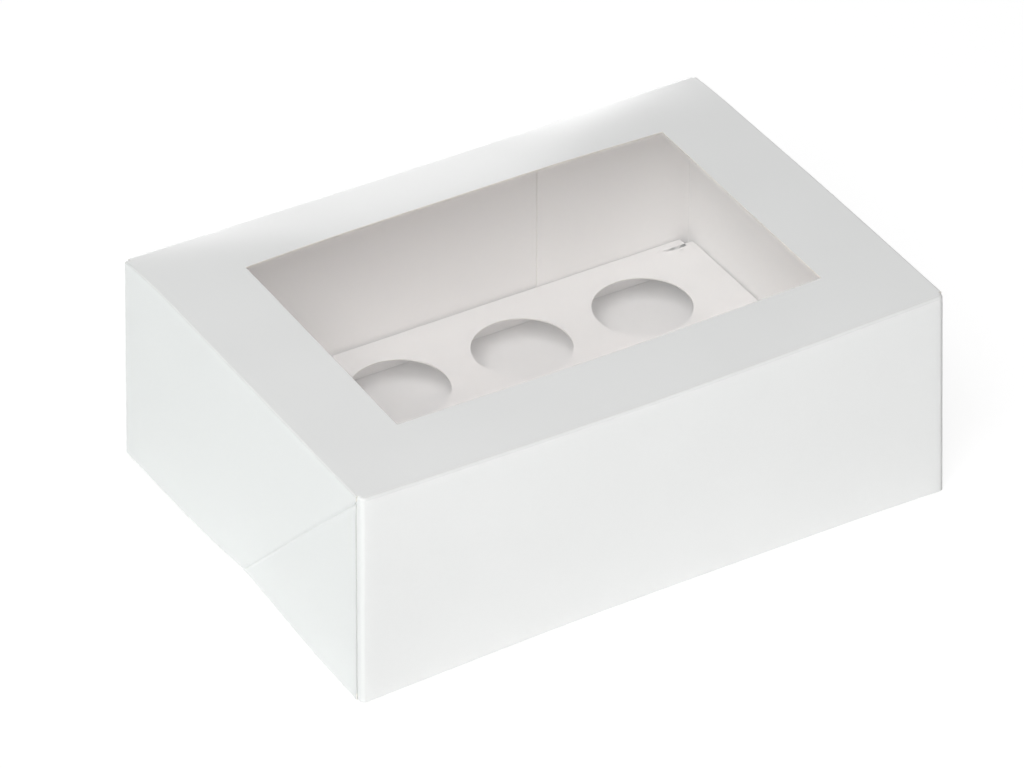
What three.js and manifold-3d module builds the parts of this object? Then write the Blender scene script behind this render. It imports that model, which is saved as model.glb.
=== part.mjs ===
// Cupcake box: a glued, collapsible carton of white card with a hinged window lid and a cup insert.
// Units are millimetres. The origin is on the ground under the middle of the closed box.
// X runs along the box, +Y points from the front to the hinge at the back, +Z points up.
import * as THREE from 'three';
import { mergeVertices } from 'three/addons/utils/BufferGeometryUtils.js';
import Module from 'manifold-3d';

const wasm = await Module();
wasm.setup();

// Driving dimensions of the closed box
const BOX_LENGTH = 240;
const BOX_DEPTH = 170;
const BOX_HEIGHT = 86.5;
const CARD = 0.5;
const FOLD_RADIUS = 0.6;
const FOLD_STEPS = 4;

// Clearances
const REST_GAP = 0.3;
const SIDE_CLEARANCE = 0.6;
const GLUE_PRESS = 0.05;

// Lid
const FLANGE_LIFT = 0.8;
const CORNER_STRIP = 4.2;
const FLANGE_BACK_GAP = 0.6;
const LID_TAB_WIDTH = 28;
const LID_TAB_RELIEF = 5;
const WINDOW_LENGTH = 174.6;
const WINDOW_DEPTH = 107.4;
const WINDOW_FRONT_MARGIN = 32.5;
const CREASE_DEPTH = 0.15;
const CREASE_WIDTH = 0.9;

// Window film
const FILM = 0.2;
const FILM_MARGIN = 10;

// Tray
const TRAY_TAB_WIDTH = 67;
const TRAY_TAB_LOW = 2;
const TRAY_TAB_TOP_GAP = 1.5;

// Cup insert
const INSERT_HEIGHT = 15;
const INSERT_CLEARANCE = 0.5;
const INSERT_CORNER = 4;
const HOLE_DIAMETER = 38;
const HOLE_PITCH = 52;
const HOLE_COLUMNS = 4;
const HOLE_ROWS = 3;
const HOLE_SEGMENTS = 40;

// Faces of the lid
const lidSide = BOX_LENGTH / 2;
const lidFront = -BOX_DEPTH / 2;
const lidBack = BOX_DEPTH / 2;
const lidTop = BOX_HEIGHT;
const lidUnder = lidTop - CARD;
const cornerSide = lidSide - CARD + GLUE_PRESS;

// Faces of the tray, which stands inside the lid's flanges and tabs
const traySide = cornerSide - CARD - SIDE_CLEARANCE;
const trayFront = lidFront + CARD + SIDE_CLEARANCE;
const trayBack = lidBack;
const trayTop = lidUnder - REST_GAP;
const trayInnerSide = traySide - CARD;
const trayInnerFront = trayFront + 2 * CARD;
const trayInnerBack = trayBack - 2 * CARD;

// Faces of the insert, which stands inside the tray
const insertSide = trayInnerSide - INSERT_CLEARANCE;
const insertFront = trayInnerFront + INSERT_CLEARANCE;
const insertBack = trayInnerBack - INSERT_CLEARANCE;
const insertFoot = CARD + REST_GAP;

const coatedCard = new THREE.MeshStandardMaterial({ color: '#eceeed', roughness: 0.5, metalness: 0 });
const trayCard = new THREE.MeshStandardMaterial({ color: '#e6e5e2', roughness: 0.6, metalness: 0 });
const insertCard = new THREE.MeshStandardMaterial({ color: '#e9e9e6', roughness: 0.6, metalness: 0 });
const clearFilm = new THREE.MeshStandardMaterial({
  color: '#f4f7f8', roughness: 0.08, metalness: 0, transparent: true, opacity: 0.2,
});

// A closed three.js geometry as a solid that can be joined and cut
function solidOf(geometry) {
  const bare = geometry.clone();
  bare.deleteAttribute('normal');
  bare.deleteAttribute('uv');
  const merged = mergeVertices(bare, 1e-4);
  return new wasm.Manifold(new wasm.Mesh({
    numProp: 3,
    vertProperties: new Float32Array(merged.attributes.position.array),
    triVerts: new Uint32Array(merged.index.array),
  }));
}

function meshOf(name, solid, material) {
  const { vertProperties, triVerts } = solid.getMesh();
  const geometry = new THREE.BufferGeometry();
  geometry.setAttribute('position', new THREE.BufferAttribute(new Float32Array(vertProperties), 3));
  geometry.setIndex(new THREE.BufferAttribute(new Uint32Array(triVerts), 1));
  geometry.computeVertexNormals();
  const mesh = new THREE.Mesh(geometry, material);
  mesh.name = name;
  return mesh;
}

function block([x0, x1], [y0, y1], [z0, z1]) {
  const geometry = new THREE.BoxGeometry(x1 - x0, y1 - y0, z1 - z0);
  geometry.translate((x0 + x1) / 2, (y0 + y1) / 2, (z0 + z1) / 2);
  return solidOf(geometry);
}

// The middle line of a folded strip of card, with a rounded bend at each inner corner
function foldedLine(corners) {
  const points = corners.map(([u, v]) => new THREE.Vector2(u, v));
  const path = new THREE.Path();
  path.moveTo(points[0].x, points[0].y);
  for (let i = 1; i < points.length - 1; i += 1) {
    const before = points[i].clone().add(
      points[i - 1].clone().sub(points[i]).setLength(FOLD_RADIUS),
    );
    const after = points[i].clone().add(
      points[i + 1].clone().sub(points[i]).setLength(FOLD_RADIUS),
    );
    path.lineTo(before.x, before.y);
    path.quadraticCurveTo(points[i].x, points[i].y, after.x, after.y);
  }
  const last = points[points.length - 1];
  path.lineTo(last.x, last.y);
  return path.getPoints(FOLD_STEPS);
}

// The outline of the card's own thickness on both sides of that middle line
function cardSection(corners) {
  const line = foldedLine(corners);
  const normalOf = (a, b) => new THREE.Vector2(a.y - b.y, b.x - a.x).normalize();
  const shifted = (distance) => line.map((point, i) => {
    const before = i > 0 ? normalOf(line[i - 1], point) : normalOf(point, line[i + 1]);
    const after = i < line.length - 1 ? normalOf(point, line[i + 1]) : before;
    const mitre = before.clone().add(after).normalize();
    return point.clone().add(mitre.multiplyScalar(distance / mitre.dot(before)));
  });
  return new THREE.Shape([...shifted(CARD / 2), ...shifted(-CARD / 2).reverse()]);
}

// Sections in (Y, Z), (X, Z) and (X, Y), drawn out along the third axis
function alongX(shape, [from, to]) {
  const geometry = new THREE.ExtrudeGeometry(shape, { depth: to - from, bevelEnabled: false });
  geometry.applyMatrix4(new THREE.Matrix4().makeBasis(
    new THREE.Vector3(0, 1, 0), new THREE.Vector3(0, 0, 1), new THREE.Vector3(1, 0, 0),
  ));
  geometry.translate(from, 0, 0);
  return solidOf(geometry);
}

function alongY(shape, [from, to]) {
  const geometry = new THREE.ExtrudeGeometry(shape, { depth: to - from, bevelEnabled: false });
  geometry.applyMatrix4(new THREE.Matrix4().makeBasis(
    new THREE.Vector3(1, 0, 0), new THREE.Vector3(0, 0, 1), new THREE.Vector3(0, -1, 0),
  ));
  geometry.translate(0, to, 0);
  return solidOf(geometry);
}

function alongZ(shape, [from, to]) {
  const geometry = new THREE.ExtrudeGeometry(shape, { depth: to - from, bevelEnabled: false });
  geometry.translate(0, 0, from);
  return solidOf(geometry);
}

// Tray: one strip folded up at the front and back, one folded up at both sides, and the side
// walls' tabs, which turn the corner and are glued on the inside of the front and back walls.
function baseTray() {
  const half = CARD / 2;
  const foldStart = traySide - half - FOLD_RADIUS;
  const whole = [-traySide, traySide];
  const upright = [2 * FOLD_RADIUS, trayTop];
  const frontAndBack = alongX(cardSection([
    [trayFront + half, trayTop],
    [trayFront + half, half],
    [trayBack - half, half],
    [trayBack - half, trayTop],
  ]), [-foldStart, foldStart])
    .add(block(whole, [trayFront, trayFront + CARD], upright))
    .add(block(whole, [trayBack - CARD, trayBack], upright));
  const tabFront = trayFront + CARD - GLUE_PRESS + half;
  const tabBack = trayBack - CARD + GLUE_PRESS - half;
  const sides = alongY(cardSection([
    [-traySide + half, trayTop],
    [-traySide + half, half],
    [traySide - half, half],
    [traySide - half, trayTop],
  ]), [tabFront + FOLD_RADIUS, tabBack - FOLD_RADIUS]);
  let tray = frontAndBack.add(sides);
  for (const side of [-1, 1]) {
    const tabs = cardSection([
      [side * (traySide - TRAY_TAB_WIDTH), tabFront],
      [side * (traySide - half), tabFront],
      [side * (traySide - half), tabBack],
      [side * (traySide - TRAY_TAB_WIDTH), tabBack],
    ]);
    tray = tray.add(alongZ(tabs, [TRAY_TAB_LOW, trayTop - TRAY_TAB_TOP_GAP]));
  }
  return meshOf('base_tray', tray, trayCard);
}

// The V-shaped score on a side flange, from the lid's top front corner down at 45 degrees
function flangeCrease(side) {
  const start = CORNER_STRIP * 2;
  const end = (lidTop + CARD) * Math.SQRT2;
  const wide = CREASE_WIDTH / 2 + CREASE_DEPTH;
  const edge = wide * Math.SQRT2;
  const geometry = new THREE.BoxGeometry(end - start, edge, edge);
  geometry.rotateX(Math.PI / 4);
  geometry.translate((start + end) / 2, 0, 0);
  const down = new THREE.Vector3(0, 1, -1).normalize();
  const out = new THREE.Vector3(side, 0, 0);
  geometry.applyMatrix4(new THREE.Matrix4().makeBasis(down, out.clone().cross(down), out));
  geometry.translate(side * (lidSide + wide - CREASE_DEPTH), lidFront, lidTop);
  return solidOf(geometry);
}

// The front flange's tabs, seen from the side: each stays in front of the 45 degree crease
function tabOutline() {
  const tabEnd = lidFront + LID_TAB_WIDTH;
  const tabShoulder = lidTop - LID_TAB_WIDTH - LID_TAB_RELIEF;
  const shape = new THREE.Shape();
  shape.moveTo(lidFront - CARD, FLANGE_LIFT);
  shape.lineTo(tabEnd, FLANGE_LIFT);
  shape.lineTo(tabEnd, tabShoulder);
  shape.lineTo(lidFront + LID_TAB_RELIEF, lidTop - 2 * LID_TAB_RELIEF);
  shape.lineTo(lidFront + LID_TAB_RELIEF, lidTop);
  shape.lineTo(lidFront - CARD, lidTop);
  return shape;
}

// Lid: top panel with its front flange, side flanges that start just behind the front corners,
// and the front flange's end tabs, folded back and glued behind the side flanges.
function lid() {
  const half = CARD / 2;
  const tabSide = cornerSide - half;
  const foldStart = tabSide - FOLD_RADIUS;
  const cornerNotch = 2 * FOLD_RADIUS;
  const topAndFront = alongX(cardSection([
    [lidBack, lidTop - half],
    [lidFront + half, lidTop - half],
    [lidFront + half, FLANGE_LIFT],
  ]), [-foldStart, foldStart]).add(block(
    [-cornerSide, cornerSide],
    [lidFront + cornerNotch, lidBack],
    [lidUnder, lidTop],
  ));
  const sides = alongY(cardSection([
    [-lidSide + half, FLANGE_LIFT],
    [-lidSide + half, lidTop - half],
    [lidSide - half, lidTop - half],
    [lidSide - half, FLANGE_LIFT],
  ]), [lidFront + CORNER_STRIP, lidBack - FLANGE_BACK_GAP]);
  const frontAndTabs = alongZ(cardSection([
    [-tabSide, lidFront + LID_TAB_WIDTH + CARD],
    [-tabSide, lidFront + half],
    [tabSide, lidFront + half],
    [tabSide, lidFront + LID_TAB_WIDTH + CARD],
  ]), [FLANGE_LIFT, lidTop - cornerNotch]).intersect(alongX(tabOutline(), [-lidSide, lidSide]));
  const windowFront = lidFront + WINDOW_FRONT_MARGIN;
  const windowCut = block(
    [-WINDOW_LENGTH / 2, WINDOW_LENGTH / 2],
    [windowFront, windowFront + WINDOW_DEPTH],
    [lidUnder - CARD, lidTop + CARD],
  );
  const folded = topAndFront.add(sides).add(frontAndTabs).subtract(windowCut);
  const scored = folded.subtract(flangeCrease(-1)).subtract(flangeCrease(1));
  return meshOf('lid', scored, coatedCard);
}

function windowFilm() {
  const top = lidUnder - REST_GAP;
  const reach = WINDOW_LENGTH / 2 + FILM_MARGIN;
  const front = lidFront + WINDOW_FRONT_MARGIN - FILM_MARGIN;
  const back = lidFront + WINDOW_FRONT_MARGIN + WINDOW_DEPTH + FILM_MARGIN;
  return meshOf('window_film', block([-reach, reach], [front, back], [top - FILM, top]), clearFilm);
}

function cupHole(column, row) {
  const radius = HOLE_DIAMETER / 2;
  const geometry = new THREE.CylinderGeometry(radius, radius, 4 * CARD, HOLE_SEGMENTS);
  geometry.rotateX(Math.PI / 2);
  geometry.translate(
    (column - (HOLE_COLUMNS - 1) / 2) * HOLE_PITCH,
    (row - (HOLE_ROWS - 1) / 2) * HOLE_PITCH,
    INSERT_HEIGHT - CARD / 2,
  );
  return solidOf(geometry);
}

// Cup insert: a sheet folded down along its four edges, with its corners cut away
function cupInsert() {
  const half = CARD / 2;
  const endLegs = alongY(cardSection([
    [-insertSide + half, insertFoot],
    [-insertSide + half, INSERT_HEIGHT - half],
    [insertSide - half, INSERT_HEIGHT - half],
    [insertSide - half, insertFoot],
  ]), [insertFront + INSERT_CORNER, insertBack - INSERT_CORNER]);
  const longLegs = alongX(cardSection([
    [insertFront + half, insertFoot],
    [insertFront + half, INSERT_HEIGHT - half],
    [insertBack - half, INSERT_HEIGHT - half],
    [insertBack - half, insertFoot],
  ]), [-insertSide + INSERT_CORNER, insertSide - INSERT_CORNER]);
  let insert = endLegs.add(longLegs);
  for (let column = 0; column < HOLE_COLUMNS; column += 1) {
    for (let row = 0; row < HOLE_ROWS; row += 1) {
      insert = insert.subtract(cupHole(column, row));
    }
  }
  return meshOf('cup_insert', insert, insertCard);
}

const cupcakeBox = new THREE.Group();
cupcakeBox.add(baseTray(), lid(), windowFilm(), cupInsert());

export default cupcakeBox;
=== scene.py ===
# Looks of the cupcake box: folded card sheets with real thickness, the clear film and the light.
# Lengths are in metres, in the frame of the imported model: +X along the box, +Y to the back, +Z up.
import math

import bmesh
import bpy
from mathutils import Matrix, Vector, noise


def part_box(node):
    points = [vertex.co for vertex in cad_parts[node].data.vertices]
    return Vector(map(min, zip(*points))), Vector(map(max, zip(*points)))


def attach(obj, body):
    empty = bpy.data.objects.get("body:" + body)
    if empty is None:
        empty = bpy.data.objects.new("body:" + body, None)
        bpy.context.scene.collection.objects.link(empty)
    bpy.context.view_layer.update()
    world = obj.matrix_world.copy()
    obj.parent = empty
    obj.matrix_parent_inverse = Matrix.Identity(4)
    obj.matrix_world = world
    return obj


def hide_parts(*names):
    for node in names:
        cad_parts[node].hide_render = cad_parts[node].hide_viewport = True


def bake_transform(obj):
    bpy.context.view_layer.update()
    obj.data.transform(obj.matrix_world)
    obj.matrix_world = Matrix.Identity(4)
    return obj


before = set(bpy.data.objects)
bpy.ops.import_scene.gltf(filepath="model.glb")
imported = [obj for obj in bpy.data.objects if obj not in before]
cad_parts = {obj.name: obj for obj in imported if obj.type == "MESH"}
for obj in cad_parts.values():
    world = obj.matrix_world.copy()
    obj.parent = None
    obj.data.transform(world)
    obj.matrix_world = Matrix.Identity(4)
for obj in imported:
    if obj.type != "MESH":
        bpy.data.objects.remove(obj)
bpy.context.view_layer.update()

MM = 0.001

# Sizes taken from the frame
LID_LOW, LID_HIGH = (Vector(corner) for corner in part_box("lid"))
TRAY_LOW, TRAY_HIGH = (Vector(corner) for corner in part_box("base_tray"))
FILM_LOW, FILM_HIGH = (Vector(corner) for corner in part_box("window_film"))
INSERT_LOW, INSERT_HIGH = (Vector(corner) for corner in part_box("cup_insert"))

# Card and its folds
CARD = 0.5 * MM
FOLD_RADIUS = 0.55 * MM
FRONT_FOLD_RADIUS = 1.0 * MM
CORNER_FOLD_RADIUS = 1.9 * MM
FOLD_STEPS = 6
GLUE_LINE = 0.02 * MM
COARSE_STEP = 3.0 * MM

# Lid
CORNER_STRIP = 3.0 * MM
WINDOW_OFFSET = 0.6 * MM
WINDOW_BACK_OFFSET = 0.8 * MM
LID_TAB_WIDTH = 28 * MM
LID_TAB_RELIEF = 5 * MM
FILM_MARGIN = 10 * MM
CREASE_HALF_WIDTH = 0.6 * MM
CREASE_HEIGHT = 0.34 * MM
FLANGE_SETTLE = 0.25 * MM

# Hinge strip between the tray's back wall and the lid
HINGE_REACH = 1.6 * MM

# Tray tabs
TRAY_TAB_WIDTH = 67 * MM
TRAY_TAB_LOW = 2 * MM
TRAY_TAB_TOP_GAP = 1.5 * MM
TRAY_SLACK = 0.45 * MM

# Insert
INSERT_CORNER = 4 * MM
HOLE_RADIUS = 19 * MM
HOLE_PITCH = 52 * MM
HOLE_COLUMNS = 4
HOLE_ROWS = 3
CELL_STEPS = 14

# Camera of the photograph
CAMERA_PLACE = (-1.1183, -1.8687, 1.5711)
CAMERA_TARGET = (-0.0073, 0.0032, 0.0400)
CAMERA_LENS = 260.0

# Light strengths in watts, the world's strength at the horizon, and light colours
WORLD_LIGHT = 0.02
FLOOR_GLOW_SHARE = 0.8
KEY_LEFT_POWER = 10.0
KEY_FRONT_POWER = 2.5
KEY_HIGH_POWER = 71.5
BACK_POWER = 21.0
INNER_GLOW_POWER = 0.03
FRONT_BOUNCE_POWER = 0.16
NEUTRAL = (1.0, 1.0, 1.0)
COOL = (0.86, 1.0, 0.97)
WARM = (1.0, 0.86, 0.78)

# Card surface: noise scales, and how strong the painted shade and the dulled gloss along the folds are
CLOUD_SCALE = 22.0
FIBRE_SCALE = 2600.0
FOLD_SHADE = 0.2
FOLD_DULLING = 0.4
CORNER_FOLD_SHADE = 0.55
SHARP_ANGLE = math.radians(35)


def smooth(value):
    value = min(max(value, 0.0), 1.0)
    return value * value * (3.0 - 2.0 * value)


def straight(place, knots):
    """A line with corners through the knots."""
    if place <= knots[0][0]:
        return knots[0][1]
    for (start, low), (end, high) in zip(knots, knots[1:]):
        if place <= end:
            return low + (high - low) * (place - start) / (end - start)
    return knots[-1][1]


def soft(place, knots):
    """A rounded line through the knots."""
    if place <= knots[0][0]:
        return knots[0][1]
    if place >= knots[-1][0]:
        return knots[-1][1]
    last = len(knots) - 1
    k = max(i for i in range(last) if knots[i][0] <= place)
    slopes = []
    for i in (k, k + 1):
        before, after = knots[max(i - 1, 0)], knots[min(i + 1, last)]
        slopes.append((after[1] - before[1]) / (after[0] - before[0]))
    (start, low), (end, high) = knots[k], knots[k + 1]
    span = end - start
    u = (place - start) / span
    level = low + (high - low) * smooth(u)
    return level + span * u * (1 - u) * (slopes[0] * (1 - u) - slopes[1] * u)


# Lights, floor and camera
def make_camera():
    data = bpy.data.cameras.new("camera")
    data.lens = CAMERA_LENS
    data.sensor_width = 36.0
    data.clip_end = 50.0
    camera = bpy.data.objects.new("camera", data)
    camera.location = CAMERA_PLACE
    look = Vector(CAMERA_TARGET) - Vector(CAMERA_PLACE)
    camera.rotation_euler = look.to_track_quat("-Z", "Y").to_euler()
    bpy.context.scene.collection.objects.link(camera)
    bpy.context.scene.camera = camera


def area_light(name, place, target, size, power, colour):
    data = bpy.data.lights.new(name, "AREA")
    data.shape = "RECTANGLE"
    data.size, data.size_y = size
    data.energy = power
    data.color = colour
    lamp = bpy.data.objects.new(name, data)
    lamp.visible_camera = False
    lamp.location = place
    lamp.rotation_euler = (Vector(target) - Vector(place)).to_track_quat("-Z", "Y").to_euler()
    bpy.context.scene.collection.objects.link(lamp)
    return lamp


def make_world():
    world = bpy.data.worlds.new("studio")
    bpy.context.scene.world = world
    world.use_nodes = True
    nodes = world.node_tree.nodes
    links = world.node_tree.links
    nodes.clear()
    light = nodes.new("ShaderNodeBackground")
    light.inputs["Color"].default_value = (0.96, 0.98, 1.0, 1.0)
    ray = nodes.new("ShaderNodeTexCoord")
    split = nodes.new("ShaderNodeSeparateXYZ")
    sweep = nodes.new("ShaderNodeMapRange")
    sweep.inputs["From Max"].default_value = 0.6
    sweep.inputs["To Min"].default_value = WORLD_LIGHT
    sweep.inputs["To Max"].default_value = 0.15 * WORLD_LIGHT
    links.new(ray.outputs["Generated"], split.inputs["Vector"])
    links.new(split.outputs["Z"], sweep.inputs["Value"])
    links.new(sweep.outputs["Result"], light.inputs["Strength"])
    seen = nodes.new("ShaderNodeBackground")
    seen.inputs["Color"].default_value = (1.0, 1.0, 1.0, 1.0)
    seen.inputs["Strength"].default_value = 1.0
    path = nodes.new("ShaderNodeLightPath")
    mix = nodes.new("ShaderNodeMixShader")
    output = nodes.new("ShaderNodeOutputWorld")
    links.new(path.outputs["Is Camera Ray"], mix.inputs["Fac"])
    links.new(light.outputs["Background"], mix.inputs[1])
    links.new(seen.outputs["Background"], mix.inputs[2])
    links.new(mix.outputs["Shader"], output.inputs["Surface"])


def floor_material():
    material = bpy.data.materials.new("floor_white")
    material.use_nodes = True
    nodes = material.node_tree.nodes
    links = material.node_tree.links
    nodes.clear()
    diffuse = nodes.new("ShaderNodeBsdfDiffuse")
    diffuse.inputs["Color"].default_value = (0.9, 0.9, 0.9, 1.0)
    glow = nodes.new("ShaderNodeEmission")
    glow.inputs["Color"].default_value = (1.0, 1.0, 1.0, 1.0)
    glow.inputs["Strength"].default_value = 1.1
    path = nodes.new("ShaderNodeLightPath")
    share = nodes.new("ShaderNodeMath")
    share.operation = "MULTIPLY"
    share.inputs[1].default_value = FLOOR_GLOW_SHARE
    mix = nodes.new("ShaderNodeMixShader")
    output = nodes.new("ShaderNodeOutputMaterial")
    links.new(path.outputs["Is Camera Ray"], share.inputs[0])
    links.new(share.outputs["Value"], mix.inputs["Fac"])
    links.new(diffuse.outputs["BSDF"], mix.inputs[1])
    links.new(glow.outputs["Emission"], mix.inputs[2])
    links.new(mix.outputs["Shader"], output.inputs["Surface"])
    return material


def make_floor():
    half = 4.0
    mesh = bpy.data.meshes.new("floor")
    corners = [(-half, -half, 0), (half, -half, 0), (half, half, 0), (-half, half, 0)]
    mesh.from_pydata(corners, [], [(0, 1, 2, 3)])
    floor = bpy.data.objects.new("floor", mesh)
    bpy.context.scene.collection.objects.link(floor)
    mesh.materials.append(floor_material())


def make_lights():
    middle = (0.0, 0.0, 0.04)
    area_light("key_left", (-2.2, -0.6, 0.7), middle, (1.4, 1.0), KEY_LEFT_POWER, COOL)
    area_light("key_front", (0.6, -2.2, 0.7), middle, (1.4, 1.0), KEY_FRONT_POWER, NEUTRAL)
    area_light("key_high", (-1.2, -1.2, 2.2), middle, (1.4, 1.4), KEY_HIGH_POWER, NEUTRAL)
    area_light("back", (1.2, 2.15, 0.45), (0.0, 0.07, 0.08), (1.4, 0.4), BACK_POWER, NEUTRAL)
    inner_target = (0.02, 0.08, 0.05)
    area_light("inner_glow", (0.0, -0.055, 0.072), inner_target, (0.18, 0.02), INNER_GLOW_POWER, WARM)
    front_target = (0.0, -0.085, 0.12)
    area_light("bounce", (0.0, -0.33, 0.01), front_target, (0.36, 0.3), FRONT_BOUNCE_POWER, NEUTRAL)


# Materials
def card_material(name, colour, roughness, grain):
    """White carton card: fine fibre grain, slow tone changes and a soft sheen from the coating."""
    material = bpy.data.materials.new(name)
    material.use_nodes = True
    nodes = material.node_tree.nodes
    links = material.node_tree.links
    shader = nodes["Principled BSDF"]
    shader.inputs["IOR"].default_value = 1.5
    place = nodes.new("ShaderNodeTexCoord")

    cloud = nodes.new("ShaderNodeTexNoise")
    cloud.inputs["Scale"].default_value = CLOUD_SCALE
    cloud.inputs["Detail"].default_value = 4.0
    tone = nodes.new("ShaderNodeMixRGB")
    tone.blend_type = "MIX"
    tone.inputs["Color1"].default_value = (*(c * 0.975 for c in colour), 1.0)
    tone.inputs["Color2"].default_value = (*colour, 1.0)
    links.new(place.outputs["Object"], cloud.inputs["Vector"])
    links.new(cloud.outputs["Fac"], tone.inputs["Fac"])

    fibre = nodes.new("ShaderNodeTexNoise")
    fibre.inputs["Scale"].default_value = FIBRE_SCALE
    fibre.inputs["Detail"].default_value = 3.0
    links.new(place.outputs["Object"], fibre.inputs["Vector"])
    fleck = nodes.new("ShaderNodeMixRGB")
    fleck.blend_type = "MULTIPLY"
    fleck.inputs["Fac"].default_value = grain
    links.new(tone.outputs["Color"], fleck.inputs["Color1"])
    links.new(fibre.outputs["Fac"], fleck.inputs["Color2"])

    # Painted shade: the fold mask mixes the colour towards dark grey along the folds and corner arcs,
    # where the rounds would be shaded.
    fold = nodes.new("ShaderNodeAttribute")
    fold.attribute_name = "fold"
    amount = nodes.new("ShaderNodeMath")
    amount.operation = "MULTIPLY"
    amount.inputs[1].default_value = FOLD_SHADE
    shade = nodes.new("ShaderNodeMixRGB")
    shade.inputs["Color2"].default_value = (0.35, 0.34, 0.32, 1.0)
    links.new(fold.outputs["Fac"], amount.inputs[0])
    links.new(amount.outputs["Value"], shade.inputs["Fac"])
    links.new(fleck.outputs["Color"], shade.inputs["Color1"])
    links.new(shade.outputs["Color"], shader.inputs["Base Color"])

    sheen_map = nodes.new("ShaderNodeMapRange")
    sheen_map.inputs["To Min"].default_value = roughness - 0.05
    sheen_map.inputs["To Max"].default_value = roughness + 0.07
    dulling = nodes.new("ShaderNodeMath")
    dulling.operation = "MULTIPLY_ADD"
    dulling.inputs[1].default_value = FOLD_DULLING
    links.new(cloud.outputs["Fac"], sheen_map.inputs["Value"])
    links.new(fold.outputs["Fac"], dulling.inputs[0])
    links.new(sheen_map.outputs["Result"], dulling.inputs[2])
    links.new(dulling.outputs["Value"], shader.inputs["Roughness"])

    relief = nodes.new("ShaderNodeBump")
    relief.inputs["Strength"].default_value = 0.12
    relief.inputs["Distance"].default_value = 0.02 * MM
    links.new(fibre.outputs["Fac"], relief.inputs["Height"])
    links.new(relief.outputs["Normal"], shader.inputs["Normal"])
    return material


def film_material():
    """Clear film: nearly invisible, with a gloss that shows where a light is mirrored; its white
    colour at low alpha lays a faint veil over the window as painted reflection.
    """
    material = bpy.data.materials.new("clear_film")
    material.use_nodes = True
    nodes = material.node_tree.nodes
    links = material.node_tree.links
    shader = nodes["Principled BSDF"]
    # Painted reflection: the white colour at alpha 0.16 brightens the window evenly, in place of the
    # film's reflection of the room.
    shader.inputs["Base Color"].default_value = (0.97, 0.98, 1.0, 1.0)
    shader.inputs["IOR"].default_value = 1.5
    shader.inputs["Alpha"].default_value = 0.16
    place = nodes.new("ShaderNodeTexCoord")
    haze = nodes.new("ShaderNodeTexNoise")
    haze.inputs["Scale"].default_value = 14.0
    haze.inputs["Detail"].default_value = 2.0
    links.new(place.outputs["Object"], haze.inputs["Vector"])
    gloss = nodes.new("ShaderNodeMapRange")
    gloss.inputs["To Min"].default_value = 0.04
    gloss.inputs["To Max"].default_value = 0.11
    links.new(haze.outputs["Fac"], gloss.inputs["Value"])
    links.new(gloss.outputs["Result"], shader.inputs["Roughness"])
    return material


# Sheets: a middle surface made of patches, which then gets the card's thickness
def stops(start, end, step, marks=()):
    """Positions from start to end, no further apart than step, that pass through every mark."""
    low, high = min(start, end), max(start, end)
    knots = sorted({start, end, *(m for m in marks if low < m < high)}, reverse=start > end)
    places = [knots[0]]
    for before, after in zip(knots, knots[1:]):
        count = max(1, math.ceil(abs(after - before) / step - 1e-6))
        places += [before + (after - before) * k / count for k in range(1, count)]
        places.append(after)
    return places


def bend(corner, before, after, radius=FOLD_RADIUS):
    """The round of a fold at corner, from the side of before to the side of after."""
    corner = Vector(corner)
    start = corner + (Vector(before) - corner).normalized() * radius
    end = corner + (Vector(after) - corner).normalized() * radius
    centre = start + end - corner
    points = []
    for k in range(FOLD_STEPS + 1):
        angle = 0.5 * math.pi * k / FOLD_STEPS
        points.append(centre - (end - corner) * math.cos(angle) - (start - corner) * math.sin(angle))
    return [(point.x, point.y) for point in points]


def add_patch(mesh, grid, keep=None):
    """Join a grid of points into faces; keep, where given, says of a face's middle if it stays."""
    rows = [[mesh.verts.new(point) for point in row] for row in grid]
    faces = []
    for lower, upper in zip(rows, rows[1:]):
        for k in range(len(lower) - 1):
            corners = (lower[k], lower[k + 1], upper[k + 1], upper[k])
            middle = sum((v.co for v in corners), Vector()) / 4
            if keep is None or keep(middle):
                faces.append(mesh.faces.new(corners))
    return faces


def close_patches(mesh):
    bmesh.ops.remove_doubles(mesh, verts=mesh.verts, dist=1e-6)
    loose = [v for v in mesh.verts if not v.link_faces]
    bmesh.ops.delete(mesh, geom=loose, context="VERTS")
    bmesh.ops.recalc_face_normals(mesh, faces=mesh.faces)


def face_outward(mesh, spot, direction):
    """Turn the whole sheet so that the face nearest to spot looks in the given direction."""
    nearest = min(mesh.faces, key=lambda f: (f.calc_center_median() - Vector(spot)).length)
    if nearest.normal.dot(Vector(direction)) < 0:
        bmesh.ops.reverse_faces(mesh, faces=mesh.faces)


def sheet_object(name, mesh, thickness, materials):
    """Give the middle surface its thickness; the materials are outside, inside and cut edge."""
    data = bpy.data.meshes.new(name)
    mesh.to_mesh(data)
    mesh.free()
    for material in materials:
        data.materials.append(material)
    piece = bpy.data.objects.new(name, data)
    bpy.context.scene.collection.objects.link(piece)
    solidify = piece.modifiers.new("card", "SOLIDIFY")
    solidify.thickness = thickness
    solidify.offset = 0.0
    solidify.use_even_offset = True
    solidify.use_quality_normals = True
    solidify.material_offset = 1
    solidify.material_offset_rim = CUT_EDGE_SLOT
    depsgraph = bpy.context.evaluated_depsgraph_get()
    solid = bpy.data.meshes.new_from_object(piece.evaluated_get(depsgraph))
    piece.modifiers.clear()
    piece.data = solid
    solid.name = name
    for polygon in solid.polygons:
        polygon.use_smooth = True
    solid.set_sharp_from_angle(angle=SHARP_ANGLE)
    return piece


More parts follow.
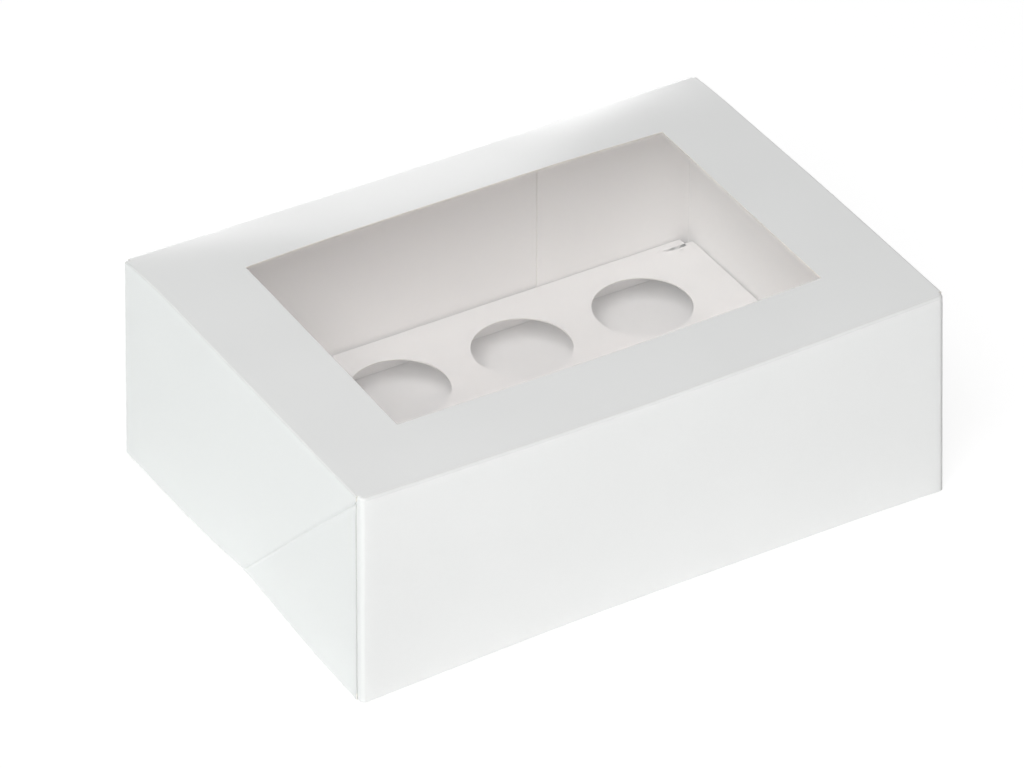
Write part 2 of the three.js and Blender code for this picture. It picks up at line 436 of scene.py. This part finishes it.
# Middle surface of the flat lid
LID_SIDE = LID_HIGH.x - CARD / 2
LID_FRONT = LID_LOW.y + CARD / 2
LID_TOP = LID_HIGH.z - CARD / 2
LID_BACK = LID_HIGH.y
CORNER_SIDE = LID_HIGH.x - CARD - GLUE_LINE - CARD / 2
PANEL_SIDE = CORNER_SIDE - CORNER_FOLD_RADIUS
FLANGE_BOTTOM = LID_LOW.z
# Heights between which the flanges' front edges get the painted shade of the slit.
EDGE_SHADE_LOW = 3 * MM
EDGE_SHADE_HIGH = 0.97 * LID_TOP
CUT_EDGE_SLOT = 2
PAINTED_SHADE_EDGE_SLOT = 3


def along(y):
    """0 at the box's front, 1 at its back."""
    return (y - LID_LOW.y) / (LID_HIGH.y - LID_LOW.y)


def down(z):
    """0 at the lid's top, 1 at the flanges' bottom edge."""
    return (LID_HIGH.z - z) / (LID_HIGH.z - LID_LOW.z)


# The bends of the pressed-together card, in millimetres from the flat panels. Each pair is a place
# and a height: the place runs from -1 at the box's left end to 1 at its right end, or from 0 at the
# front to 1 at the back.
HINGE_RISE = ((-1.0, -1.0), (0.0, -2.0), (1.0, -1.5))
WINDOW_BACK_RISE = (
    (-1.0, 0.0), (-0.73, 1.1), (-0.43, 2.05), (0.0, 2.3),
    (0.28, 2.15), (0.5, 1.5), (0.73, 0.6), (1.0, -0.5))
MIDDLE_RISE = ((-1.0, -0.4), (-0.73, -0.3), (0.0, -0.5), (0.73, -0.4), (1.0, -0.2))
FRONT_RISE = ((-1.0, -1.2), (-0.7, -2.0), (0.0, -2.8), (0.6, -1.5), (1.0, -0.2))
BACK_MARGIN = 30 * MM
SETTLE = 70 * MM

FRONT_FOOT_OUT = ((-1.0, 3.3), (-0.55, 1.0), (-0.2, -0.1), (0.7, -0.3), (1.0, 0.5))
FRONT_HEAD_OUT = ((-1.0, 0.4), (0.0, 0.0), (1.0, -0.2))
CREASE_FOOT = 0.46
LEFT_FOOT_OUT = (
    (0.0, 2.7), (0.15, 2.3), (0.25, 1.5), (0.35, 0.6),
    (CREASE_FOOT, -0.3), (0.6, 1.4), (0.7, 2.0), (1.0, 2.8))
RIGHT_FOOT_OUT = ((0.0, 2.6), (0.25, 1.6), (CREASE_FOOT, 0.4), (0.65, 1.2), (1.0, 2.0))
LEFT_HEAD_OUT = ((0.0, 0.3), (0.5, 0.2), (0.85, 0.0), (1.0, 0.7))
RIGHT_HEAD_OUT = ((0.0, -0.3), (0.5, 0.3), (1.0, 0.0))
LEFT_FOOT_LIFT = ((0.0, 0.0), (0.4, 0.2), (0.7, 1.1), (1.0, 2.2))
FRONT_EDGE_LIFT = 0.22
FRONT_EDGE_REACH = 8 * MM


def top_shift(x, y):
    """How far the top panel stands above its flat plane."""
    side = x / LID_HIGH.x
    from_hinge = LID_BACK - y
    crest = soft(side, WINDOW_BACK_RISE)
    middle = soft(side, MIDDLE_RISE)
    if from_hinge < BACK_MARGIN:
        hinge = soft(side, HINGE_RISE)
        ease = 1.1 + 1.6 * smooth((abs(side + 0.08) - 0.3) / 0.6)
        share = 1.0 - (1.0 - max(from_hinge, 0.0) / BACK_MARGIN) ** ease
        level = hinge + (crest - hinge) * share
    elif from_hinge < BACK_MARGIN + SETTLE:
        level = crest + (middle - crest) * smooth((from_hinge - BACK_MARGIN) / SETTLE)
    else:
        rest = (from_hinge - BACK_MARGIN - SETTLE) / (LID_BACK - LID_LOW.y - BACK_MARGIN - SETTLE)
        level = middle + (soft(side, FRONT_RISE) - middle) * min(rest * 1.35, 1.0) ** 0.8
    slow = 0.15 * noise.noise(Vector((x, y, 0.3)) * 25.0) * smooth((1 - abs(side)) * 10)
    return (level + slow) * MM


def side_out(side, s, t):
    """How far a side flange stands outside its flat plane; it is dented along the 45 degree crease."""
    foot, head = (RIGHT_FOOT_OUT, RIGHT_HEAD_OUT) if side > 0 else (LEFT_FOOT_OUT, LEFT_HEAD_OUT)
    crease = max(t * (LID_HIGH.z - LID_LOW.z) / (LID_HIGH.y - LID_LOW.y), 1e-6)
    if s < crease:
        place = CREASE_FOOT * s / crease
    else:
        place = CREASE_FOOT + (1.0 - CREASE_FOOT) * (s - crease) / (1.0 - crease)
    edge_lift = FRONT_EDGE_LIFT * smooth(1.0 - (s * (LID_HIGH.y - LID_LOW.y)) / FRONT_EDGE_REACH)
    return (straight(place, foot) * t + soft(s, head) * (1.0 - t) + edge_lift * smooth(t * 6)) * MM


def corner_out(side, t):
    """How far the glued corner stands outside its flat plane."""
    foot, head = (RIGHT_FOOT_OUT, RIGHT_HEAD_OUT) if side > 0 else (LEFT_FOOT_OUT, LEFT_HEAD_OUT)
    return (foot[0][1] * t + head[0][1] * (1.0 - t)) * MM


def front_out(x, t):
    """How far the front flange stands outside its flat plane."""
    place = x / LID_HIGH.x
    return (soft(place, FRONT_FOOT_OUT) * t + soft(place, FRONT_HEAD_OUT) * (1.0 - t)) * MM


def bend_point(point, out, slack=0.0):
    """Bend a point; slack is the part of an inward bend that the sheet doesn't follow."""
    x, y, z = point
    side = 1.0 if x > 0 else -1.0
    s, t = along(y), min(down(z), 1.0)
    by_side = smooth((abs(x) - 0.5 * LID_SIDE) / (0.5 * LID_SIDE - 2.5 * MM)) ** 3
    by_front = smooth(1.0 - s / 0.3) ** 3
    out_x, out_y = out(side, s, t), front_out(x, t)
    if slack:
        out_x, out_y = min(out_x + slack, 0.0), min(out_y + slack, 0.0)
    return Vector((x + side * out_x * by_side, y - out_y * by_front, z))


def warp_flange(point):
    """Bend a point of the flat lid's top panel or side flange."""
    x, y, z = point
    t = down(z)
    bent = bend_point(point, side_out)
    lift = soft(along(y), LEFT_FOOT_LIFT) * MM if x < -PANEL_SIDE else 0.0
    bent.z += top_shift(x, y) * (1.0 - t) + (lift - FLANGE_SETTLE) * t
    return bent


def warp_front(point):
    """Bend a point of the front flange or of the tabs glued behind the side flanges."""
    x, y, z = point
    t = down(z)
    bent = bend_point(point, lambda side, s, t: min(corner_out(side, t), side_out(side, s, t)))
    bent.z += top_shift(x, y) * (1.0 - t) - FLANGE_SETTLE * t
    return bent


def warp_tray(point):
    """Bend a point of the flat tray, which follows the lid only where the lid presses on it."""
    bent = bend_point(point, side_out, TRAY_SLACK)
    bent.z += min(0.0, top_shift(point.x, point.y)) * (1.0 - min(down(point.z), 1.0))
    return bent


def lid_tab_length(z):
    """The glued tab stays in front of the 45 degree crease."""
    below_top = LID_HIGH.z - z
    return min(LID_TAB_WIDTH, max(LID_TAB_RELIEF, below_top - LID_TAB_RELIEF))


def raise_crease(mesh, faces, side):
    """Raise the 45 degree crease of a side flange, from the top front corner downwards."""
    corner = Vector((side * LID_SIDE, LID_LOW.y, LID_HIGH.z))
    across = Vector((0.0, 1.0, 1.0)).normalized()
    geometry = list({v for f in faces for v in f.verts} | {e for f in faces for e in f.edges})
    geometry += faces
    for offset in (-CREASE_HALF_WIDTH, 0.0, CREASE_HALF_WIDTH):
        cut = bmesh.ops.bisect_plane(
            mesh, geom=geometry, dist=1e-7, plane_co=corner + across * offset, plane_no=across)
        geometry = cut["geom"]
    for vertex in {g for g in geometry if isinstance(g, bmesh.types.BMVert)}:
        distance = abs((vertex.co - corner).dot(across))
        if distance < 0.05 * MM and vertex.co.z < LID_TOP - 2 * FOLD_RADIUS:
            vertex.co.x += side * CREASE_HEIGHT


def window_bounds():
    low = Vector((FILM_LOW.x + FILM_MARGIN + WINDOW_OFFSET, FILM_LOW.y + FILM_MARGIN))
    high_y = FILM_HIGH.y - FILM_MARGIN + WINDOW_BACK_OFFSET
    high = Vector((FILM_HIGH.x - FILM_MARGIN + WINDOW_OFFSET, high_y))
    return low, high


def mark_fold_shade_and_dulling(mesh):
    """Mark the rounds between the top panel and its flanges on the flat sheet. The mask darkens them
    as painted shade and dulls their gloss; the corner arcs get a weaker share, painted shade that dims
    their highlight.
    """
    layer = mesh.verts.layers.float.new("fold")
    for vertex in mesh.verts:
        below_top = LID_TOP - vertex.co.z
        front = max(vertex.co.y - LID_FRONT, below_top) / FRONT_FOLD_RADIUS
        end = max(LID_SIDE - abs(vertex.co.x), below_top) / FOLD_RADIUS
        into_corner_x = CORNER_SIDE - abs(vertex.co.x)
        corner = max(into_corner_x, vertex.co.y - LID_FRONT) / CORNER_FOLD_RADIUS
        if min(front, end) < 0.9:
            vertex[layer] = 1.0
        elif corner < 0.9 and into_corner_x > -0.5 * CARD:
            vertex[layer] = CORNER_FOLD_SHADE


def corner_rings(side, fold, strip_end):
    """The rings of the rounded corner, from the top panel down to the front flange."""
    rings = []
    for y, z in fold:
        inset = y - LID_FRONT
        corner_x = side * (CORNER_SIDE - inset)
        arc = bend((corner_x, y), (0.0, y), (corner_x, LID_BACK), CORNER_FOLD_RADIUS - inset)
        rings.append([(x, place, z) for x, place in arc] + [(corner_x, strip_end, z)])
    return rings


def paint_shade_on_slit_edges(polygons):
    """Give the side flanges' upright front edges, which lie in a narrow slit, a darker grey copy of
    the cut-edge material as painted shade for the slit.
    """
    slit_end = LID_LOW.y + 2 * CORNER_STRIP
    for polygon in polygons:
        middle = polygon.center
        upright = EDGE_SHADE_LOW < middle.z < EDGE_SHADE_HIGH
        if polygon.material_index == CUT_EDGE_SLOT and middle.y < slit_end and upright:
            polygon.material_index = PAINTED_SHADE_EDGE_SLOT


def make_lid(materials):
    mesh = bmesh.new()
    window_low, window_high = window_bounds()
    strip_end = LID_LOW.y + CORNER_STRIP
    hinge_end = LID_BACK - HINGE_REACH
    fold = bend(
        (LID_FRONT, LID_TOP), (LID_BACK, LID_TOP), (LID_FRONT, FLANGE_BOTTOM), FRONT_FOLD_RADIUS)
    ring_marks = [y for _, y, _ in corner_rings(1, fold, strip_end)[0]]
    top_places = stops(
        hinge_end, fold[0][0], 2.5 * MM, (window_low.y, window_high.y, *ring_marks))
    flange_places = stops(fold[-1][1], FLANGE_BOTTOM, COARSE_STEP)
    section = [(y, LID_TOP) for y in top_places]
    section += fold[1:-1]
    section += [(LID_FRONT, z) for z in flange_places]
    across = stops(-PANEL_SIDE, PANEL_SIDE, COARSE_STEP, (window_low.x, window_high.x))

    def outside_window(middle):
        in_length = window_low.x < middle.x < window_high.x
        in_depth = window_low.y < middle.y < window_high.y
        return not (in_length and in_depth and middle.z > LID_TOP - CARD)

    add_patch(mesh, [[(x, y, z) for y, z in section] for x in across], outside_window)
    for side in (-1, 1):
        side_fold = bend(
            (side * LID_SIDE, LID_TOP), (0.0, LID_TOP), (side * LID_SIDE, FLANGE_BOTTOM))
        ring_side = side * (CORNER_SIDE - FRONT_FOLD_RADIUS)
        side_section = [(side * PANEL_SIDE, LID_TOP), (ring_side, LID_TOP)] + side_fold
        side_section += [(side * LID_SIDE, z) for z in
                         stops(side_fold[-1][1], FLANGE_BOTTOM, 2.5 * MM)[1:]]
        side_places = [y for y in top_places if y > strip_end - 1e-9]
        faces = add_patch(mesh, [[(x, y, z) for x, z in side_section] for y in side_places])
        raise_crease(mesh, faces, side)
        rings = corner_rings(side, fold, strip_end)
        add_patch(mesh, rings)
        add_patch(mesh, [[(side * PANEL_SIDE, y, z), (x, y, z)] for x, y, z in rings[0]])
        tab_rows = []
        for z in flange_places:
            row = [(x, y, z) for x, y, _ in rings[-1]]
            length = lid_tab_length(z) - CORNER_STRIP
            row += [(side * CORNER_SIDE, strip_end + length * k / 10, z) for k in range(1, 11)]
            tab_rows.append(row)
        add_patch(mesh, tab_rows)
    close_patches(mesh)
    face_outward(mesh, (0.0, LID_FRONT, 0.04), (0.0, -1.0, 0.0))
    mark_fold_shade_and_dulling(mesh)
    for vertex in mesh.verts:
        inside_flange = abs(vertex.co.x) < LID_SIDE - 0.8 * CARD
        if inside_flange and vertex.co.z < LID_TOP - 0.9 * FRONT_FOLD_RADIUS:
            vertex.co = warp_front(vertex.co)
        else:
            vertex.co = warp_flange(vertex.co)
    piece = sheet_object("lid_card", mesh, CARD, materials)
    paint_shade_on_slit_edges(piece.data.polygons)
    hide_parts("lid")
    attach(piece, "lid")


# Tray
TRAY_SIDE = TRAY_HIGH.x - CARD / 2
TRAY_FRONT = TRAY_LOW.y + CARD / 2
TRAY_BACK = TRAY_HIGH.y - CARD / 2
TRAY_FLOOR = CARD / 2
TRAY_TOP = TRAY_HIGH.z


def make_tray(materials):
    mesh = bmesh.new()
    panel_side = TRAY_SIDE - FOLD_RADIUS
    wall_low = 2 * FOLD_RADIUS
    front_fold = bend((TRAY_FRONT, TRAY_FLOOR), (TRAY_FRONT, TRAY_TOP), (TRAY_BACK, TRAY_FLOOR))
    back_fold = bend((TRAY_BACK, TRAY_FLOOR), (TRAY_FRONT, TRAY_FLOOR), (TRAY_BACK, TRAY_TOP))
    tab_front = TRAY_FRONT + CARD + GLUE_LINE
    tab_back = TRAY_BACK - CARD - GLUE_LINE
    side_marks = (tab_front + FOLD_RADIUS, tab_back - FOLD_RADIUS)
    back_top = LID_TOP - HINGE_REACH
    tab_top = TRAY_TOP - TRAY_TAB_TOP_GAP
    wall_marks = (wall_low, TRAY_TAB_LOW, tab_top)
    front_walls = stops(TRAY_TOP, front_fold[0][1], COARSE_STEP, wall_marks)
    back_walls = stops(back_fold[-1][1], back_top, COARSE_STEP, wall_marks)
    floor_places = stops(front_fold[-1][0], back_fold[0][0], COARSE_STEP, side_marks)
    section = [(TRAY_FRONT, z) for z in front_walls]
    section += front_fold[1:-1]
    section += [(y, TRAY_FLOOR) for y in floor_places]
    section += back_fold[1:-1]
    section += [(TRAY_BACK, z) for z in back_walls]
    across = stops(-panel_side, panel_side, COARSE_STEP)
    add_patch(mesh, [[(x, y, z) for y, z in section] for x in across])
    for side in (-1, 1):
        ends = (side * panel_side, side * TRAY_HIGH.x)
        for y, walls in ((TRAY_FRONT, front_walls), (TRAY_BACK, back_walls)):
            upright = [z for z in walls if z > wall_low - 1e-9]
            add_patch(mesh, [[(x, y, z) for x in ends] for z in upright])
        side_fold = bend(
            (side * TRAY_SIDE, TRAY_FLOOR), (0.0, TRAY_FLOOR), (side * TRAY_SIDE, TRAY_TOP))
        walls = stops(side_fold[-1][1], TRAY_TOP, COARSE_STEP, (TRAY_TAB_LOW, tab_top))
        side_section = side_fold[:-1] + [(side * TRAY_SIDE, z) for z in walls]
        side_places = [y for y in floor_places
                       if side_marks[0] - 1e-9 < y < side_marks[1] + 1e-9]
        add_patch(mesh, [[(x, y, z) for x, z in side_section] for y in side_places])
        heights = [z for z in walls if TRAY_TAB_LOW - 1e-9 < z < tab_top + 1e-9]
        for tab_y, towards in ((tab_front, tab_back), (tab_back, tab_front)):
            fold = bend((side * TRAY_SIDE, tab_y), (side * TRAY_SIDE, towards), (0.0, tab_y))
            tab_end = side * (TRAY_HIGH.x - TRAY_TAB_WIDTH)
            run = stops(fold[-1][0], tab_end, COARSE_STEP)[1:]
            path = fold + [(x, tab_y) for x in run]
            add_patch(mesh, [[(x, y, z) for x, y in path] for z in heights])
    close_patches(mesh)
    face_outward(mesh, (0.0, 0.0, 0.0), (0.0, 0.0, -1.0))
    for vertex in mesh.verts:
        vertex.co = warp_tray(vertex.co)
    piece = sheet_object("tray_card", mesh, CARD, materials)
    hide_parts("base_tray")
    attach(piece, "base")


def make_hinge(materials):
    """The fold that joins the tray's back wall to the lid's top panel."""
    mesh = bmesh.new()
    start = LID_TOP - HINGE_REACH
    end = LID_BACK - HINGE_REACH
    fold = bend((TRAY_BACK, LID_TOP), (TRAY_BACK, 0.0), (0.0, LID_TOP))
    path = [(TRAY_BACK, start)] + fold + [(end, LID_TOP)]
    across = stops(-TRAY_HIGH.x, TRAY_HIGH.x, COARSE_STEP)
    add_patch(mesh, [[(x, y, z) for y, z in path] for x in across])
    close_patches(mesh)
    face_outward(mesh, (0.0, TRAY_BACK, start), (0.0, 1.0, 0.0))
    for vertex in mesh.verts:
        vertex.co.z += top_shift(vertex.co.x, vertex.co.y) * (1.0 - down(vertex.co.z))
    piece = sheet_object("hinge_fold", mesh, CARD, materials)
    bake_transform(piece)


def make_film(material):
    mesh = bmesh.new()
    middle = (FILM_LOW.z + FILM_HIGH.z) / 2
    columns = stops(FILM_LOW.x, FILM_HIGH.x, COARSE_STEP)
    rows = stops(FILM_LOW.y, FILM_HIGH.y, COARSE_STEP)
    add_patch(mesh, [[(x, y, middle) for x in columns] for y in rows])
    close_patches(mesh)
    face_outward(mesh, (0.0, 0.0, middle), (0.0, 0.0, 1.0))
    for vertex in mesh.verts:
        ripple = noise.noise(vertex.co * 18.0) * 0.15 * MM
        vertex.co.z += top_shift(vertex.co.x, vertex.co.y) - 0.1 * MM + ripple
    piece = sheet_object("film_sheet", mesh, FILM_HIGH.z - FILM_LOW.z, [material])
    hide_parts("window_film")
    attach(piece, "lid")


# Insert
def hole_cell(mesh, centre, height):
    """One square of the insert around a round hole."""
    half = HOLE_PITCH / 2
    edge = [-half + HOLE_PITCH * k / CELL_STEPS for k in range(CELL_STEPS)]
    square = [(u, -half) for u in edge] + [(half, u) for u in edge]
    square += [(-u, half) for u in edge] + [(-half, -u) for u in edge]
    square.append(square[0])
    rings = []
    for share in (0.0, 0.12, 0.45, 1.0):
        ring = []
        for u, v in square:
            reach = HOLE_RADIUS / math.hypot(u, v)
            scale = reach + (1.0 - reach) * share
            ring.append((centre[0] + u * scale, centre[1] + v * scale, height))
        rings.append(ring)
    add_patch(mesh, rings)


def make_insert(materials):
    mesh = bmesh.new()
    height = INSERT_HIGH.z - CARD / 2
    foot = INSERT_LOW.z
    middle_y = (INSERT_LOW.y + INSERT_HIGH.y) / 2
    field_x = HOLE_COLUMNS * HOLE_PITCH / 2
    field_y = HOLE_ROWS * HOLE_PITCH / 2
    for column in range(HOLE_COLUMNS):
        for row in range(HOLE_ROWS):
            centre = (
                (column - (HOLE_COLUMNS - 1) / 2) * HOLE_PITCH,
                (row - (HOLE_ROWS - 1) / 2) * HOLE_PITCH,
            )
            hole_cell(mesh, centre, height)
    cell_step = HOLE_PITCH / CELL_STEPS
    columns = [-field_x + k * cell_step for k in range(HOLE_COLUMNS * CELL_STEPS + 1)]
    rows = [-field_y + k * cell_step for k in range(HOLE_ROWS * CELL_STEPS + 1)]
    fold_x = INSERT_HIGH.x - CARD / 2
    corner_x = INSERT_HIGH.x - INSERT_CORNER
    corner_low = INSERT_LOW.y + INSERT_CORNER
    corner_high = INSERT_HIGH.y - INSERT_CORNER
    legs = stops(height - FOLD_RADIUS, foot, COARSE_STEP)
    for side in (-1, 1):
        fold_y = INSERT_HIGH.y - CARD / 2 if side > 0 else INSERT_LOW.y + CARD / 2
        corner_y = corner_high if side > 0 else corner_low
        end_fold = bend((side * fold_x, height), (0.0, height), (side * fold_x, foot))
        margin = stops(side * field_x, side * corner_x, COARSE_STEP)
        end_rows = [y for y in rows if corner_low < y < corner_high]
        end_rows = sorted({corner_low, corner_high, *end_rows})
        path = [(x, height) for x in margin] + end_fold
        path += [(side * fold_x, z) for z in legs[1:]]
        add_patch(mesh, [[(x, y, z) for x, z in path] for y in end_rows])
        long_fold = bend((fold_y, height), (middle_y, height), (fold_y, foot))
        margin_y = stops(side * field_y, corner_y, COARSE_STEP)
        path = [(y, height) for y in margin_y] + long_fold
        path += [(fold_y, z) for z in legs[1:]]
        end_columns = sorted({-corner_x, corner_x, *columns})
        add_patch(mesh, [[(x, y, z) for y, z in path] for x in end_columns])
    close_patches(mesh)
    face_outward(mesh, (0.0, 0.0, height), (0.0, 0.0, 1.0))
    piece = sheet_object("insert_sheet", mesh, CARD, materials)
    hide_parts("cup_insert")
    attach(piece, "base")


bpy.context.scene.view_settings.view_transform = "Standard"
make_camera()
make_world()
make_lights()
make_floor()

outside = card_material("coated_card", (0.885, 0.885, 0.88), 0.36, 0.04)
# The inner side is uncoated, so warmer and duller; its colour is also raised above the outside's as
# painted light, to brighten the inside seen through the window.
inside = card_material("inner_card_lightened", (0.93, 0.915, 0.905), 0.62, 0.05)
cut_edge = card_material("cut_edge", (0.86, 0.83, 0.78), 0.8, 0.15)
# Painted shade: a darker grey copy of the cut edge, used on the flanges' front edges in the slit.
painted_shade_edge = card_material("painted_shade_edge", (0.68, 0.68, 0.67), 0.8, 0.1)
make_lid([outside, inside, cut_edge, painted_shade_edge])
make_tray([outside, inside, cut_edge])
make_hinge([outside, inside, cut_edge])
make_insert([inside, inside, cut_edge])
make_film(film_material())
